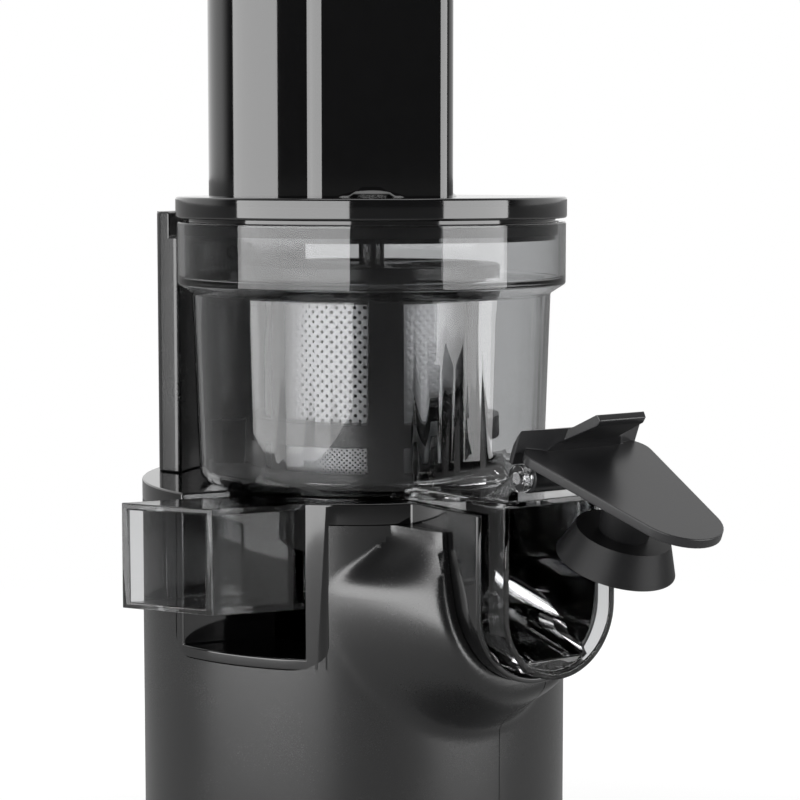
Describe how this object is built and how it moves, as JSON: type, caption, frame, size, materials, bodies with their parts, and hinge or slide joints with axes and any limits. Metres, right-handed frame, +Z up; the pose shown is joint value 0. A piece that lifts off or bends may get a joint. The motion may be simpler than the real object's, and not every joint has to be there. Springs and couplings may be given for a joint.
{
  "type": "cold press juicer",
  "caption": "Upright slow juicer: motor base with planetary drive, clear bowl with strainer, wiper and auger, lid with feed chute and pusher, pulp spout, juice spout with hinged stopper cap",
  "frame": {"origin": "on the surface it stands on, below the middle of the whole outline with the juice cap open; the bowl's axis stands 15.8 mm to the left of the origin and 21.9 mm behind it", "axes": "+Z up along the bowl's and auger's axis, -Y the front with the plain panel between the spouts, +X to the right seen from the front; the juice spout points to the front right and the pulp spout to the front left"},
  "size_m": [0.1803, 0.196, 0.422],
  "materials": {
    "matte_shell": "fine matte texture",
    "gloss_black": "high gloss",
    "satin_black": "satin",
    "dark_plastic": "satin",
    "inner_plastic": "satin",
    "white_plastic": "satin",
    "smoke_clear": "clear smoke-grey plastic",
    "silicone": "soft satin",
    "rubber": "matte",
    "steel": "ground",
    "mesh_steel": "perforated sheet",
    "zinc_steel": "zinc plated",
    "cast_metal": "cast",
    "copper": "wound copper and laminations",
    "brass_gear": "cut",
    "board": "board with parts"
  },
  "bodies": {
    "base": {"feet": "rubber", "bottom_cover": "dark_plastic", "bottom_screws": "steel", "shell_front": "matte_shell", "shell_rear": "matte_shell", "deck": "gloss_black", "tower_shell": "matte_shell", "tower_trim": "gloss_black", "plunger_spring": "steel", "lock_switch": "dark_plastic", "control_board": "board", "cord_inlet": "rubber", "switch_bezel": "gloss_black", "motor_can": "zinc_steel", "motor_endcap": "dark_plastic", "motor_bearings": "steel", "gearbox_housing": "cast_metal", "gearbox_cover": "cast_metal", "gearbox_screws": "steel", "output_bearing": "steel", "shaft_seal": "silicone"},
    "plunger": {"lock_plunger": "dark_plastic"},
    "rocker": {"rocker": "dark_plastic"},
    "rotor": {"rotor": "copper", "sun_gear": "brass_gear"},
    "carrier": {"carrier": "steel", "planet_pins": "steel"},
    "planet_1": {"planet_1": "white_plastic"},
    "planet_2": {"planet_2": "white_plastic"},
    "planet_3": {"planet_3": "white_plastic"},
    "bowl": {"bowl": "smoke_clear", "bowl_seal": "silicone", "strainer_frame": "inner_plastic", "mesh_coarse": "mesh_steel", "mesh_fine": "mesh_steel", "cap_pin": "steel"},
    "auger": {"auger": "inner_plastic", "auger_socket": "steel", "wiper_frame": "inner_plastic", "wiper_blades": "silicone"},
    "lid": {"lid": "gloss_black", "lid_seal": "silicone", "lid_bush": "dark_plastic"},
    "pusher": {"pusher": "gloss_black", "pusher_cap": "gloss_black"},
    "juice_cap": {"juice_cap": "satin_black", "cap_stopper": "silicone"}
  },
  "joints": [
    {"name": "output_spin", "type": "hinge", "parent": "base", "child": "carrier", "pos_m": [-0.0158, 0.0219, 0.15], "axis": [0, 0, 1], "continuous": true},
    {"name": "rotor_spin", "type": "hinge", "parent": "base", "child": "rotor", "pos_m": [-0.0158, 0.0219, 0.08], "axis": [0, 0, 1], "continuous": true},
    {"name": "auger_spin", "type": "hinge", "parent": "bowl", "child": "auger", "pos_m": [-0.0158, 0.0219, 0.22], "axis": [0, 0, 1], "continuous": true},
    {"name": "bowl_lift", "type": "slide", "parent": "base", "child": "bowl", "axis": [0, 0, 1], "range_m": [0, 0.12]},
    {"name": "lid_turn", "type": "hinge", "parent": "bowl", "child": "lid", "pos_m": [-0.0158, 0.0219, 0.285], "axis": [0, 0, 1], "range_deg": [0, 32]},
    {"name": "pusher_slide", "type": "slide", "parent": "lid", "child": "pusher", "axis": [0, 0, 1], "range_m": [0, 0.1]},
    {"name": "cap_hinge", "type": "hinge", "parent": "bowl", "child": "juice_cap", "pos_m": [0.04817, -0.05168, 0.2105], "axis": [0.7547, 0.6561, 0], "range_deg": [-35, 69]},
    {"name": "rocker_tilt", "type": "hinge", "parent": "base", "child": "rocker", "pos_m": [-0.02236, 0.09375, 0.044], "axis": [-1, 0, 0], "range_deg": [0, 16]},
    {"name": "plunger_slide", "type": "slide", "parent": "base", "child": "plunger", "axis": [-0.829, 0.5592, 0], "range_m": [0, 0.0015], "stiffness_N_per_m": 300},
    {"name": "planet_1_spin", "type": "hinge", "parent": "carrier", "child": "planet_1", "pos_m": [0.00295, 0.0219, 0.125], "axis": [0, 0, 1], "continuous": true},
    {"name": "planet_2_spin", "type": "hinge", "parent": "carrier", "child": "planet_2", "pos_m": [-0.02517, 0.03814, 0.125], "axis": [0, 0, 1], "continuous": true},
    {"name": "planet_3_spin", "type": "hinge", "parent": "carrier", "child": "planet_3", "pos_m": [-0.02517, 0.00566, 0.125], "axis": [0, 0, 1], "continuous": true}
  ],
  "couplings": [
    {"joint": "rotor_spin", "follows": "output_spin", "ratio": 5},
    {"joint": "auger_spin", "follows": "output_spin", "ratio": 1},
    {"joint": "planet_1_spin", "follows": "output_spin", "ratio": -2.6667},
    {"joint": "planet_2_spin", "follows": "output_spin", "ratio": -2.6667},
    {"joint": "planet_3_spin", "follows": "output_spin", "ratio": -2.6667}
  ]
}
